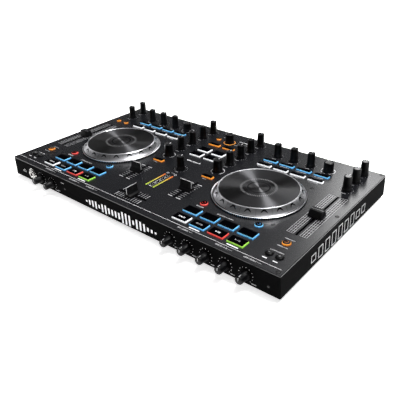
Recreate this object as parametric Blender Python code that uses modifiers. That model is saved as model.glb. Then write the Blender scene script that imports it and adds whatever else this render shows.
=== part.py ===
"""Two-deck DJ controller: a flat case with two jog wheels either side of a two-channel mixer.

Frame: origin under the middle of the whole object on the surface it stands on, +X to the
player's right, +Y away from the player, +Z up.  Dimensions are in millimetres, measured from
the middle of the case, and scaled by MM.  CASE_SHIFT then moves everything back a little,
because the front knobs stick out further than the rear sockets.
"""
import math

import bmesh
import bpy
from mathutils import Matrix, Vector

MM = 0.001
GAP = 0.3                     # clearance between neighbouring parts

# Case
CASE_WIDTH = 510.0
CASE_DEPTH = 292.0
FOOT_HEIGHT = 5.0
PANEL_TOP = 36.6
PANEL_THICKNESS = 1.6
WALL = 2.5
FLOOR = 2.0
CORNER_RADIUS = 1.2
EDGE_CHAMFER = 0.5
SIDE_FLARE = 1.6              # how far the end walls lean out at the bottom
PANEL_BOTTOM = PANEL_TOP - PANEL_THICKNESS
CASE_TOP = PANEL_BOTTOM - GAP
FRONT = -CASE_DEPTH / 2
REAR = CASE_DEPTH / 2

# Deck layout, measured from each deck's centre line
DECK_X = 138.6
JOG_Y = -12.0
COLUMN = 29.0                 # pitch of the control grid in both directions
COLUMNS = (-1.5 * COLUMN, -0.5 * COLUMN, 0.5 * COLUMN, 1.5 * COLUMN)
EDGE_X = 228.7                # outer column: pitch fader and corner controls
PAD_ROW_Y = -100.4
TRANSPORT_ROW_Y = -121.6
ROUND_ROW_Y = -77.0
LOOP_ROW_Y = 69.5
FX_ROW_Y = 87.8
FX_KNOB_Y = 108.3
CORNER_ROWS = (127.7, 98.8, 70.0)
SHIFT_Y = -89.6
BEND_Y = -118.0
BEND_X = {"left": -228.5, "right": 230.0}
BEND_HALF = 6.9

# Mixer layout
CHANNEL_X = 50.0
CHANNEL_ROWS = (127.5, 98.7, 69.9, 41.0)
FILTER_Y = 11.0
CENTRE_KNOB_Y = -16.5
CUE_Y = -13.2
BROWSE_X = 14.5
BROWSE_ROWS = (59.6, 39.2)
LOAD_Y = 85.6
BACK_BUTTON = (-23.5, 109.0)
SMALL_LEFT_X = (-236.6, -216.5)

# Knobs
KNOB_SIDES = 12
KNOB_LIFT = 0.4               # air between the skirt and the panel
SHAFT_RADIUS = 3.0
SHAFT_HOLE = 3.7
SHAFT_BOTTOM = 31.3
TALL_KNOB = (22.0, 6.8, 6.0, 5.6)       # height, skirt, body and top radii
WIDE_KNOB = (19.5, 7.8, 7.2, 6.7)
ENCODER = (15.0, 7.8, 7.4, 7.1)
BROWSE_ENCODER = (16.0, 8.0, 7.5, 7.2)
FRONT_KNOB = (15.0, 6.4, 5.7, 5.3)
FRONT_KNOB_Z = 18.0
FRONT_KNOB_LEFT = (-DECK_X - 1.5 * COLUMN, -DECK_X - 0.5 * COLUMN)
FRONT_KNOB_RIGHT = tuple(DECK_X + k * COLUMN for k in (-1.5, -0.5, 0.5, 1.5, 2.5))

# Keycaps
PAD_SIZE = (23.8, 14.6)
SLIM_SIZE = (23.4, 8.0)
BROWSE_SIZE = (21.8, 14.6)
LOAD_SIZE = (21.5, 8.0)
CUE_SIZE = (19.0, 8.0)
ROUND_RADIUS = 5.4
SMALL_RADIUS = 3.9
BEND_RADIUS = 5.0
CAP_RISE = 1.8                # translucent skirt above the panel
CAP_INLAY = 0.5               # opaque top above the skirt
CAP_RIM = 1.2
WEB_BOTTOM = 32.6
WEB_TOP = 34.2
HOLE_CLEARANCE = 0.4

# Jog wheels
JOG_HEIGHT = 11.5
JOG_BASE_RADIUS = 66.2
JOG_RIM_RADIUS = 56.6
JOG_DISC_RADIUS = 54.7
JOG_SIDES = 48
JOG_HUB_RADIUS = 9.0
JOG_HUB_BOTTOM = 28.6

# Faders
SLOT_WIDTH = 3.2
PITCH_SLOT = (-68.3, 45.5)
CHANNEL_SLOT = (-88.6, -34.8)
CROSS_SLOT = (-27.0, 27.0)
CROSS_Y = -118.2
PITCH_REST_Y = -16.2
STEM_THICKNESS = 1.6
STEM_BOTTOM = 31.3

# Inside
BOARD_BOTTOM = 25.2
BOARD_TOP = 26.8
COMPONENT_TOP = 30.8
POT_SIZE = 10.0
FOOT_RADIUS = 11.0
FOOT_AT = (220.0, 122.0)

# Connectors
JACK_X = -205.0
JACK_Z = 19.5
JACK_BORE = 3.3
REAR_PLATE = (176.0, 19.0)
REAR_PLATE_X = -60.0
REAR_PLATE_Z = 19.5
RCA_OFFSETS = (-78.0, -64.0, -46.0, -32.0, -14.0, 0.0)
RCA_REACH = 7.0

# Half the difference between what sticks out in front of the case and behind it
CASE_SHIFT = (FRONT_KNOB[0] - RCA_REACH) / 2


# ---------------------------------------------------------------- helpers

def clear_scene():
    for item in list(bpy.data.objects):
        bpy.data.objects.remove(item, do_unlink=True)


def make_collection(name):
    collection = bpy.data.collections.new(name)
    bpy.context.scene.collection.children.link(collection)
    return collection


def make_material(name, colour, roughness, metallic=0.0):
    material = bpy.data.materials.new(name)
    material.use_nodes = True
    shader = material.node_tree.nodes["Principled BSDF"]
    shader.inputs["Base Color"].default_value = (*colour, 1.0)
    shader.inputs["Roughness"].default_value = roughness
    shader.inputs["Metallic"].default_value = metallic
    material.diffuse_color = (*colour, 1.0)
    return material


def add_box(mesh, low, high):
    """Adds a closed box between two corners given in millimetres."""
    size = Vector(high) - Vector(low)
    middle = (Vector(high) + Vector(low)) / 2
    matrix = Matrix.Translation(middle * MM) @ Matrix.Diagonal((*(size * MM), 1.0))
    return bmesh.ops.create_cube(mesh, size=1.0, matrix=matrix)["verts"]


def add_cylinder(mesh, centre, radius, bottom, top, sides=12, along="Z", top_radius=None):
    """Adds a closed cylinder or cone from bottom to top along Z or Y, centred on two coordinates."""
    end_radius = radius if top_radius is None else top_radius
    middle = (bottom + top) / 2
    if along == "Z":
        matrix = Matrix.Translation(Vector((centre[0], centre[1], middle)) * MM)
    else:
        place = Matrix.Translation(Vector((centre[0], middle, centre[1])) * MM)
        matrix = place @ Matrix.Rotation(-math.pi / 2, 4, "X")
    bmesh.ops.create_cone(mesh, cap_ends=True, segments=sides, radius1=radius * MM,
                          radius2=end_radius * MM, depth=(top - bottom) * MM, matrix=matrix)


def finish_mesh(name, mesh, material, collection, smooth=False):
    bmesh.ops.recalc_face_normals(mesh, faces=mesh.faces)
    data = bpy.data.meshes.new(name)
    mesh.to_mesh(data)
    mesh.free()
    item = bpy.data.objects.new(name, data)
    collection.objects.link(item)
    if material:
        data.materials.append(material)
    if smooth:
        data.shade_smooth()
        data.set_sharp_from_angle(angle=math.radians(35))
    return item


def make_cutter(name, mesh):
    cutter = finish_mesh(name, mesh, None, cutters)
    cutter.hide_render = True
    cutter.display_type = "WIRE"
    return cutter


def combine(item, mesh, operation, suffix):
    """Joins (UNION) or cuts (DIFFERENCE) an object with the closed shapes in a bmesh."""
    modifier = item.modifiers.new(suffix, "BOOLEAN")
    modifier.operation = operation
    modifier.solver = "EXACT"
    modifier.object = make_cutter(item.name + "_" + suffix, mesh)


def set_origin(item, point):
    """Moves an object's origin to a point in millimetres and leaves its mesh in place."""
    offset = Vector(point) * MM
    item.data.transform(Matrix.Translation(-offset))
    item.location = offset


def turned(name, profile, sides, material, origin, along="Z"):
    """Screws a closed-ended profile of (radius, height) points, listed top to bottom, about Z."""
    mesh = bmesh.new()
    verts = [mesh.verts.new((radius * MM, 0.0, height * MM)) for radius, height in profile]
    for first, second in zip(verts, verts[1:]):
        mesh.edges.new((first, second))
    data = bpy.data.meshes.new(name)
    mesh.to_mesh(data)
    mesh.free()
    data.materials.append(material)
    item = bpy.data.objects.new(name, data)
    parts.objects.link(item)
    screw = item.modifiers.new("turn", "SCREW")
    screw.steps = sides
    screw.render_steps = sides
    screw.use_merge_vertices = True
    screw.merge_threshold = 0.00001
    item.location = Vector(origin) * MM
    if along == "Y":
        item.rotation_euler = (math.pi / 2, 0.0, 0.0)
    return item


# ---------------------------------------------------------------- layout tables

def deck_places(row_y, offsets=COLUMNS, side=1):
    return [(side * DECK_X + offset, row_y) for offset in offsets]


def knob_places():
    """Names, places and shapes of the knobs that stand on the top panel."""
    places = []
    for row, y in enumerate(CORNER_ROWS):
        places.append(("knob_corner_right_%d" % (row + 1), EDGE_X, y, TALL_KNOB))
    for row, y in enumerate(CORNER_ROWS[:2]):
        places.append(("knob_corner_left_%d" % (row + 1), -EDGE_X, y, TALL_KNOB))
    for side, word in ((-1, "left"), (1, "right")):
        for number, (x, y) in enumerate(deck_places(FX_KNOB_Y, COLUMNS[:3], side)):
            places.append(("knob_fx_%s_%d" % (word, number + 1), x, y, TALL_KNOB))
        places.append(("encoder_fx_" + word, side * DECK_X + COLUMNS[3], FX_KNOB_Y, ENCODER))
        for number, y in enumerate(CHANNEL_ROWS):
            name = "knob_channel_%s_%d" % (word, number + 1)
            places.append((name, side * CHANNEL_X, y, TALL_KNOB))
        places.append(("knob_filter_" + word, side * CHANNEL_X, FILTER_Y, WIDE_KNOB))
    places.append(("knob_centre", 0.0, CENTRE_KNOB_Y, TALL_KNOB))
    places.append(("encoder_browse", 0.0, FX_KNOB_Y, BROWSE_ENCODER))
    return places


def rectangular_caps():
    """Centre and size of every rectangular keycap, by button group."""
    groups = {}
    for side, word in ((-1, "left"), (1, "right")):
        groups["pads_" + word] = [(p, PAD_SIZE) for p in deck_places(PAD_ROW_Y, side=side)]
        groups["transport_" + word] = [(p, PAD_SIZE)
                                       for p in deck_places(TRANSPORT_ROW_Y, side=side)]
        rows = deck_places(FX_ROW_Y, side=side) + deck_places(LOOP_ROW_Y, side=side)
        groups["fx_buttons_" + word] = [(p, SLIM_SIZE) for p in rows]
        groups["corner_buttons_" + word] = []
    browse = [((x, y), BROWSE_SIZE) for x in (-BROWSE_X, BROWSE_X) for y in BROWSE_ROWS]
    load = [((x, LOAD_Y), LOAD_SIZE) for x in (-BROWSE_X, BROWSE_X)]
    groups["browse_buttons"] = browse + load
    groups["cue_buttons"] = [((x, CUE_Y), CUE_SIZE) for x in (-CHANNEL_X, CHANNEL_X)]
    return groups


def round_caps():
    """Centre and radius of every round keycap, by button group."""
    groups = {"browse_buttons": [(BACK_BUTTON, SMALL_RADIUS)]}
    for side, word in ((-1, "left"), (1, "right")):
        groups["pads_" + word] = [(p, ROUND_RADIUS) for p in
                                  deck_places(ROUND_ROW_Y, (COLUMNS[0], COLUMNS[3]), side)]
        bend = [((BEND_X[word] + dx, BEND_Y), BEND_RADIUS) for dx in (-BEND_HALF, BEND_HALF)]
        shift = ((side * EDGE_X, SHIFT_Y), ROUND_RADIUS)
        groups["corner_buttons_" + word] = bend + [shift]
    groups["fx_buttons_left"] = [((x, LOOP_ROW_Y), SMALL_RADIUS) for x in SMALL_LEFT_X]
    return groups


def web_strips():
    """Flat strips (x low, y low, x high, y high) of the carrier under each button group."""
    strips = {}
    reach = COLUMNS[3] + 10.0
    for side, word in ((-1, "left"), (1, "right")):
        middle = side * DECK_X
        row = (middle - reach, -5.0, middle + reach, 5.0)
        edge = side * EDGE_X
        strips["pads_" + word] = [
            (row[0], PAD_ROW_Y - 5, row[2], PAD_ROW_Y + 5),
            (middle + COLUMNS[0] - 3, PAD_ROW_Y, middle + COLUMNS[0] + 3, ROUND_ROW_Y + 3),
            (middle + COLUMNS[3] - 3, PAD_ROW_Y, middle + COLUMNS[3] + 3, ROUND_ROW_Y + 3)]
        strips["transport_" + word] = [
            (row[0], TRANSPORT_ROW_Y - 5, row[2], TRANSPORT_ROW_Y + 5)]
        strips["fx_buttons_" + word] = [
            (row[0], FX_ROW_Y - 3, row[2], FX_ROW_Y + 3),
            (row[0], LOOP_ROW_Y - 3, row[2], LOOP_ROW_Y + 3),
            (middle - 4, LOOP_ROW_Y, middle + 4, FX_ROW_Y)]
        strips["corner_buttons_" + word] = [
            (edge - 11, BEND_Y - 3, edge + 11, BEND_Y + 3),
            (edge - 3, BEND_Y, edge + 3, SHIFT_Y + 3)]
    arm_start = SMALL_LEFT_X[0] - 3
    strips["fx_buttons_left"].append((arm_start, LOOP_ROW_Y - 2, -DECK_X - 40, LOOP_ROW_Y + 2))
    back_x, back_y = BACK_BUTTON
    strips["browse_buttons"] = [(-22.0, 34.0, 22.0, LOAD_Y + 3),
                                (back_x - 2.5, LOAD_Y, back_x + 2.5, back_y + 2)]
    strips["cue_buttons"] = [(-CHANNEL_X - 8, CUE_Y + 0.6, CHANNEL_X + 8, CUE_Y + 4.0)]
    return strips


def slot_boxes(half_width, bottom, top, extra=0.0):
    """Long boxes along the five fader slots."""
    boxes = []
    for side in (-1, 1):
        for x, (low, high) in ((EDGE_X, PITCH_SLOT), (CHANNEL_X, CHANNEL_SLOT)):
            boxes.append(((side * x - half_width, low - extra, bottom),
                          (side * x + half_width, high + extra, top)))
    boxes.append(((CROSS_SLOT[0] - extra, CROSS_Y - half_width, bottom),
                  (CROSS_SLOT[1] + extra, CROSS_Y + half_width, top)))
    return boxes


# ---------------------------------------------------------------- case

def rounded_block(mesh, low, high, radius, chamfered_height):
    """Adds a box with rounded upright corners and a chamfer all round at one of its faces."""
    verts = add_box(mesh, low, high)
    upright = []
    for edge in sorted({edge for vert in verts for edge in vert.link_edges}, key=edge_place):
        first, second = (vert.co for vert in edge.verts)
        if abs(first.z - second.z) > 1e-6:
            upright.append(edge)
    bmesh.ops.bevel(mesh, geom=upright, offset=radius * MM, segments=3, profile=0.5,
                    affect="EDGES")
    rim = []
    for edge in mesh.edges:
        if all(abs(vert.co.z - chamfered_height * MM) < 1e-7 for vert in edge.verts):
            rim.append(edge)
    bmesh.ops.bevel(mesh, geom=rim, offset=EDGE_CHAMFER * MM, segments=1, affect="EDGES")


def edge_place(edge):
    """Sorting key that lists edges in the same order on every run."""
    middle = (edge.verts[0].co + edge.verts[1].co) / 2
    return (round(middle.x, 6), round(middle.y, 6), round(middle.z, 6))


def build_case():
    mesh = bmesh.new()
    half = CASE_WIDTH / 2
    rounded_block(mesh, (-half, FRONT, FOOT_HEIGHT), (half, REAR, CASE_TOP), CORNER_RADIUS,
                  FOOT_HEIGHT)
    for vert in mesh.verts:
        depth = (CASE_TOP * MM - vert.co.z) / (CASE_TOP - FOOT_HEIGHT)
        vert.co.x += math.copysign(SIDE_FLARE * depth, vert.co.x)
    case = finish_mesh("bottom_case", mesh, black_plastic, parts)

    hollow = bmesh.new()
    add_box(hollow, (-half + WALL, FRONT + WALL, FOOT_HEIGHT + FLOOR),
            (half - WALL, REAR - WALL, CASE_TOP + 5))
    combine(case, hollow, "DIFFERENCE", "hollow")

    posts = bmesh.new()
    for x in (-235.0, -80.0, 80.0, 235.0):
        for y in (-100.0, 110.0):
            add_box(posts, (x - 3, y - 3, FOOT_HEIGHT + 1), (x + 3, y + 3, BOARD_BOTTOM - GAP))
    combine(case, posts, "UNION", "posts")

    openings = bmesh.new()
    for x in FRONT_KNOB_LEFT + FRONT_KNOB_RIGHT:
        add_cylinder(openings, (x, FRONT_KNOB_Z), SHAFT_HOLE, FRONT - 5, FRONT + WALL + 1,
                     along="Y")
    add_cylinder(openings, (JACK_X, JACK_Z), 5.9, FRONT - 5, FRONT + WALL + 1, 16, "Y")
    wide, high = REAR_PLATE
    add_box(openings, (REAR_PLATE_X - wide / 2, REAR - WALL - 1, REAR_PLATE_Z - high / 2),
            (REAR_PLATE_X + wide / 2, REAR + 5, REAR_PLATE_Z + high / 2))
    combine(case, openings, "DIFFERENCE", "openings")


def build_panel():
    half = CASE_WIDTH / 2
    mesh = bmesh.new()
    rounded_block(mesh, (-half, FRONT, PANEL_BOTTOM), (half, REAR, PANEL_TOP), CORNER_RADIUS,
                  PANEL_TOP)
    panel = finish_mesh("top_panel", mesh, panel_paint, parts)

    low = PANEL_BOTTOM - 1
    high = PANEL_TOP + 1
    holes = bmesh.new()
    for _, x, y, _ in knob_places():
        add_cylinder(holes, (x, y), SHAFT_HOLE, low, high, 8)
    for caps in rectangular_caps().values():
        for (x, y), (wide, deep) in caps:
            add_box(holes, (x - wide / 2 - HOLE_CLEARANCE, y - deep / 2 - HOLE_CLEARANCE, low),
                    (x + wide / 2 + HOLE_CLEARANCE, y + deep / 2 + HOLE_CLEARANCE, high))
    for caps in round_caps().values():
        for place, radius in caps:
            add_cylinder(holes, place, radius + HOLE_CLEARANCE + 0.1, low, high, 12)
    for corner, opposite in slot_boxes(SLOT_WIDTH / 2, low, high):
        add_box(holes, corner, opposite)
    for side in (-1, 1):
        add_cylinder(holes, (side * DECK_X, JOG_Y), JOG_HUB_RADIUS + 1.0, low, high, 24)
    combine(panel, holes, "DIFFERENCE", "holes")


def build_board():
    mesh = bmesh.new()
    add_box(mesh, (-246.0, -139.0, BOARD_BOTTOM), (246.0, 138.0, BOARD_TOP))
    board = finish_mesh("main_board", mesh, board_green, parts)

    parts_above = bmesh.new()
    inside = BOARD_TOP - 0.8
    half = POT_SIZE / 2
    for _, x, y, _ in knob_places():
        add_box(parts_above, (x - half, y - half, inside), (x + half, y + half, COMPONENT_TOP))
    for corner, opposite in slot_boxes(5.0, inside, COMPONENT_TOP, extra=6.0):
        add_box(parts_above, corner, opposite)
    for side in (-1, 1):
        add_cylinder(parts_above, (side * DECK_X, JOG_Y), 12.0, inside, JOG_HUB_BOTTOM - GAP, 16)
    combine(board, parts_above, "UNION", "components")

    pots_below = bmesh.new()
    for x in FRONT_KNOB_LEFT + FRONT_KNOB_RIGHT:
        add_box(pots_below, (x - half, -138.0, FRONT_KNOB_Z - half),
                (x + half, -131.0, BOARD_BOTTOM + 0.8))
    combine(board, pots_below, "UNION", "front_pots")


def build_feet():
    across, along = FOOT_AT
    for x_word, x in (("left", -across), ("right", across)):
        for y_word, y in (("front", -along), ("rear", along)):
            mesh = bmesh.new()
            add_cylinder(mesh, (x, y), FOOT_RADIUS - 1.0, 0.0, FOOT_HEIGHT - GAP, 20,
                         top_radius=FOOT_RADIUS)
            foot = finish_mesh("foot_%s_%s" % (y_word, x_word), mesh, rubber, parts, smooth=True)
            set_origin(foot, (x, y, 0.0))


# ---------------------------------------------------------------- controls

def knob_profile(height, skirt, body, top):
    """Outline of a knob and its shaft, from the top centre down, above the panel plane."""
    return [(0.0, height), (top, height - 0.5), (body, 3.4),
            (skirt, 2.2), (skirt, KNOB_LIFT), (SHAFT_RADIUS, KNOB_LIFT),
            (SHAFT_RADIUS, SHAFT_BOTTOM - PANEL_TOP), (0.0, SHAFT_BOTTOM - PANEL_TOP)]


def build_knobs():
    for name, x, y, shape in knob_places():
        turned(name, knob_profile(*shape), KNOB_SIDES, rubber, (x, y, PANEL_TOP))
    numbered = [("knob_front_left_%d" % (i + 1), x) for i, x in enumerate(FRONT_KNOB_LEFT)]
    numbered += [("knob_front_right_%d" % (i + 1), x) for i, x in enumerate(FRONT_KNOB_RIGHT)]
    for name, x in numbered:
        turned(name, knob_profile(*FRONT_KNOB), KNOB_SIDES, rubber, (x, FRONT, FRONT_KNOB_Z), "Y")


def add_keycap(mesh, place, size):
    """A rectangular keycap with a raised inlay, growing out of its carrier."""
    (x, y), (wide, deep) = place, size
    verts = add_box(mesh, (x - wide / 2, y - deep / 2, WEB_TOP - 0.8),
                    (x + wide / 2, y + deep / 2, PANEL_TOP + CAP_RISE))
    faces = {face for vert in verts for face in vert.link_faces}
    top = max(faces, key=lambda face: face.calc_center_median().z)
    bmesh.ops.inset_individual(mesh, faces=[top], thickness=CAP_RIM * MM, use_even_offset=True)
    lifted = bmesh.ops.extrude_discrete_faces(mesh, faces=[top])["faces"][0]
    bmesh.ops.translate(mesh, verts=lifted.verts, vec=(0.0, 0.0, CAP_INLAY * MM))


def build_buttons():
    rounds = round_caps()
    for name, caps in rectangular_caps().items():
        strips = web_strips()[name]
        mesh = bmesh.new()
        x_low, y_low, x_high, y_high = strips[0]
        add_box(mesh, (x_low, y_low, WEB_BOTTOM), (x_high, y_high, WEB_TOP))
        group = finish_mesh(name, mesh, keycap_plastic, parts)
        for number, (x_low, y_low, x_high, y_high) in enumerate(strips[1:]):
            arm = bmesh.new()
            add_box(arm, (x_low, y_low, WEB_BOTTOM), (x_high, y_high, WEB_TOP))
            combine(group, arm, "UNION", "arm_%d" % number)
        keys = bmesh.new()
        for place, size in caps:
            add_keycap(keys, place, size)
        for place, radius in rounds.get(name, []):
            add_cylinder(keys, place, radius, WEB_TOP - 0.8, PANEL_TOP + CAP_RISE + CAP_INLAY)
        combine(group, keys, "UNION", "keys")


def build_jogs():
    ring = [(JOG_RIM_RADIUS - 1.4, JOG_HEIGHT), (JOG_RIM_RADIUS, JOG_HEIGHT - 0.6),
            (JOG_BASE_RADIUS - 3.0, 2.2), (JOG_BASE_RADIUS, 2.0), (JOG_BASE_RADIUS, 0.6),
            (JOG_RIM_RADIUS - 4.0, 0.6), (JOG_RIM_RADIUS - 4.0, JOG_HEIGHT - 3.2),
            (JOG_RIM_RADIUS - 1.4, JOG_HEIGHT - 3.2), (JOG_RIM_RADIUS - 1.4, JOG_HEIGHT)]
    hub_bottom = JOG_HUB_BOTTOM - PANEL_TOP
    disc = [(0.0, JOG_HEIGHT - 0.5), (JOG_DISC_RADIUS, JOG_HEIGHT - 0.5),
            (JOG_DISC_RADIUS, JOG_HEIGHT - 2.8), (JOG_HUB_RADIUS, JOG_HEIGHT - 2.8),
            (JOG_HUB_RADIUS, hub_bottom), (0.0, hub_bottom)]
    for side, word in ((-1, "left"), (1, "right")):
        centre = (side * DECK_X, JOG_Y, PANEL_TOP)
        turned("jog_ring_" + word, ring, JOG_SIDES, chrome, centre)
        turned("jog_disc_" + word, disc, JOG_SIDES, disc_black, centre)


def add_tapered(mesh, low, high, top_inset_x, top_inset_y):
    """A box whose top is drawn in on both axes."""
    verts = add_box(mesh, low, high)
    middle = (Vector(low) + Vector(high)) / 2 * MM
    for vert in verts:
        if vert.co.z > middle.z:
            vert.co.x -= math.copysign(top_inset_x * MM, vert.co.x - middle.x)
            vert.co.y -= math.copysign(top_inset_y * MM, vert.co.y - middle.y)


def build_mixer_fader(name, place, along_x):
    """A tall fader cap: a low foot, a thin upright blade and a stem through the slot."""
    x, y = place
    lift = PANEL_TOP + 0.8
    across = (10.0, 6.0)
    half_x, half_y = reversed(across) if along_x else across
    mesh = bmesh.new()
    inset = (4.2, 0.8) if along_x else (0.8, 4.2)
    add_tapered(mesh, (x - half_x, y - half_y, lift), (x + half_x, y + half_y, lift + 14.4), *inset)
    cap = finish_mesh(name, mesh, rubber, parts)
    stem = bmesh.new()
    stem_x, stem_y = (4.0, STEM_THICKNESS / 2) if along_x else (STEM_THICKNESS / 2, 4.0)
    add_box(stem, (x - stem_x, y - stem_y, STEM_BOTTOM), (x + stem_x, y + stem_y, lift + 2))
    combine(cap, stem, "UNION", "stem")
    set_origin(cap, (x, y, PANEL_TOP))


def build_pitch_fader(name, x):
    """A flat-topped cap whose front and back fall away over a wider foot."""
    y = PITCH_REST_Y
    lift = PANEL_TOP + 0.8
    mesh = bmesh.new()
    add_tapered(mesh, (x - 9.2, y - 6.2, lift), (x + 9.2, y + 6.2, lift + 9.6), 0.5, 1.6)
    cap = finish_mesh(name, mesh, rubber, parts)
    steps = bmesh.new()
    add_tapered(steps, (x - 9.6, y - 7.2, lift), (x + 9.6, y + 7.2, lift + 2.4), 0.3, 0.4)
    combine(cap, steps, "UNION", "steps")
    stem = bmesh.new()
    half = STEM_THICKNESS / 2
    add_box(stem, (x - half, y - 6.0, STEM_BOTTOM), (x + half, y + 6.0, lift + 2))
    combine(cap, stem, "UNION", "stem")
    set_origin(cap, (x, y, PANEL_TOP))


def build_faders():
    channel_y = sum(CHANNEL_SLOT) / 2
    for side, word in ((-1, "left"), (1, "right")):
        build_pitch_fader("fader_pitch_" + word, side * EDGE_X)
        build_mixer_fader("fader_channel_" + word, (side * CHANNEL_X, channel_y), False)
    build_mixer_fader("crossfader", (0.0, CROSS_Y), True)


# ---------------------------------------------------------------- connectors

def build_jack():
    """Headphone socket: a nut outside, a barrel through the wall and a blind bore."""
    mesh = bmesh.new()
    add_cylinder(mesh, (JACK_X, JACK_Z), 5.5, FRONT - 1.0, FRONT + 30.0, 16, "Y")
    jack = finish_mesh("headphone_jack", mesh, chrome, parts)
    nut = bmesh.new()
    add_cylinder(nut, (JACK_X, JACK_Z), 9.4, FRONT - 3.4, FRONT - GAP, 24, "Y")
    combine(jack, nut, "UNION", "nut")
    bore = bmesh.new()
    add_cylinder(bore, (JACK_X, JACK_Z), JACK_BORE, FRONT - 6.0, FRONT + 27.0, 16, "Y")
    combine(jack, bore, "DIFFERENCE", "bore")


def build_rear_connectors():
    """Socket plate set in the rear wall: phono pairs, a data port and a power inlet."""
    wide, high = REAR_PLATE
    outer = REAR - 0.2
    x_low = REAR_PLATE_X - wide / 2 + GAP
    x_high = REAR_PLATE_X + wide / 2 - GAP
    mesh = bmesh.new()
    add_box(mesh, (x_low, REAR - 3.0, REAR_PLATE_Z - high / 2 + GAP),
            (x_high, outer, REAR_PLATE_Z + high / 2 - GAP))
    plate = finish_mesh("rear_connectors", mesh, black_plastic, parts)

    barrels = bmesh.new()
    bores = bmesh.new()
    for offset in RCA_OFFSETS:
        place = (REAR_PLATE_X + offset, REAR_PLATE_Z)
        add_cylinder(barrels, place, 4.2, REAR - 1.5, REAR + RCA_REACH, 14, "Y")
        add_cylinder(bores, place, 1.6, REAR + 1.0, REAR + 9.0, 8, "Y")
    port_x = REAR_PLATE_X + 32.0
    add_box(barrels, (port_x - 6.0, REAR - 14.0, REAR_PLATE_Z - 5.4),
            (port_x + 6.0, REAR + 0.8, REAR_PLATE_Z + 5.4))
    inlet_x = REAR_PLATE_X + 62.0
    add_box(barrels, (inlet_x - 5.5, REAR - 12.0, REAR_PLATE_Z - 5.5),
            (inlet_x + 5.5, REAR + 0.8, REAR_PLATE_Z + 5.5))
    combine(plate, barrels, "UNION", "housings")

    add_box(bores, (port_x - 4.2, REAR - 9.0, REAR_PLATE_Z - 3.9),
            (port_x + 4.2, REAR + 5.0, REAR_PLATE_Z + 3.9))
    add_cylinder(bores, (inlet_x, REAR_PLATE_Z), 2.9, REAR - 9.0, REAR + 5.0, 14, "Y")
    combine(plate, bores, "DIFFERENCE", "bores")

    pins = bmesh.new()
    add_box(pins, (port_x - 2.8, REAR - 10.0, REAR_PLATE_Z - 1.6),
            (port_x + 2.8, REAR - 1.0, REAR_PLATE_Z + 1.6))
    add_cylinder(pins, (inlet_x, REAR_PLATE_Z), 1.0, REAR - 10.0, REAR - 1.0, 8, "Y")
    combine(plate, pins, "UNION", "pins")


clear_scene()
parts = make_collection("dj_controller")
cutters = make_collection("cutters")

black_plastic = make_material("black_plastic", (0.016, 0.016, 0.017), 0.45)
panel_paint = make_material("panel_paint", (0.035, 0.035, 0.038), 0.35, 0.3)
board_green = make_material("board_green", (0.02, 0.12, 0.05), 0.5)
rubber = make_material("rubber", (0.012, 0.012, 0.012), 0.55)
keycap_plastic = make_material("keycap_plastic", (0.25, 0.45, 0.6), 0.3)
chrome = make_material("chrome", (0.75, 0.75, 0.77), 0.12, 1.0)
disc_black = make_material("disc_black", (0.02, 0.02, 0.02), 0.25, 0.6)

build_case()
build_panel()
build_board()
build_feet()
build_knobs()
build_buttons()
build_jogs()
build_faders()
build_jack()
build_rear_connectors()

for item in list(parts.objects) + list(cutters.objects):
    item.location.y += CASE_SHIFT * MM
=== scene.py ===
"""Looks of the two-deck DJ controller: fine geometry, materials, print, light and camera."""

import math
import random

import bmesh
import bpy
from mathutils import Matrix, Vector


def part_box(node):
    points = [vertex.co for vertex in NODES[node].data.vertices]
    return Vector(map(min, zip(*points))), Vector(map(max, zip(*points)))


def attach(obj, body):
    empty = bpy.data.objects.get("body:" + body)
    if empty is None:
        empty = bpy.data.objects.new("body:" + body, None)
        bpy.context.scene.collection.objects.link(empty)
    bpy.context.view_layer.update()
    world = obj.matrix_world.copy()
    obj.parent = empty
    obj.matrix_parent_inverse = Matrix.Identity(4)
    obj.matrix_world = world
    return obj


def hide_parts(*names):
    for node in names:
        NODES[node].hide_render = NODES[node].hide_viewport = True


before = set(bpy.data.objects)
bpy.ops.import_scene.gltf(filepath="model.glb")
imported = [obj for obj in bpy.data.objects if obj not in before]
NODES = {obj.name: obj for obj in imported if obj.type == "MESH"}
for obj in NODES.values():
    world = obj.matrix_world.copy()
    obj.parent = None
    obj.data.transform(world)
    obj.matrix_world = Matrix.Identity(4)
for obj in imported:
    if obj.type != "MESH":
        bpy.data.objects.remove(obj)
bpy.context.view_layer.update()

MM = 0.001
RANDOM = random.Random(11)


# ---- places taken from the frame

def middle(node):
    """Centre of a CAD node's box, in millimetres."""
    low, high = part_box(node)
    return (low + high) / 2 / MM


PANEL_LOW, PANEL_HIGH = (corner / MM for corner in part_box("top_panel"))
CASE_X = (PANEL_LOW.x + PANEL_HIGH.x) / 2
CASE_Y = (PANEL_LOW.y + PANEL_HIGH.y) / 2
TOP = PANEL_HIGH.z
HALF_WIDTH = (PANEL_HIGH.x - PANEL_LOW.x) / 2
FRONT = PANEL_LOW.y
REAR = PANEL_HIGH.y
CASE_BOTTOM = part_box("bottom_case")[0].z / MM
SIDES = ("left", "right")
DECK = {word: middle("jog_disc_" + word) for word in SIDES}
EDGE = {word: middle("fader_pitch_" + word).x for word in SIDES}
CHANNEL = {word: middle("fader_channel_" + word).x for word in SIDES}
COLUMNS = [29.0 * step for step in (-1.5, -0.5, 0.5, 1.5)]
TALL = [name for name in NODES if name.startswith("knob_") and "front" not in name
        and "filter" not in name]
FRONT_KNOBS = sorted(name for name in NODES if name.startswith("knob_front"))
PANEL_MIDDLE = Vector((CASE_X, CASE_Y, TOP))

ROOT = -3.0             # where knobs and keys end inside the panel
INK_DEPTH = 0.06        # how far printed strokes stand out


# ---- materials

def new_material(name):
    material = bpy.data.materials.new(name)
    material.use_nodes = True
    tree = material.node_tree
    return material, tree, tree.nodes["Principled BSDF"]


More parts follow.
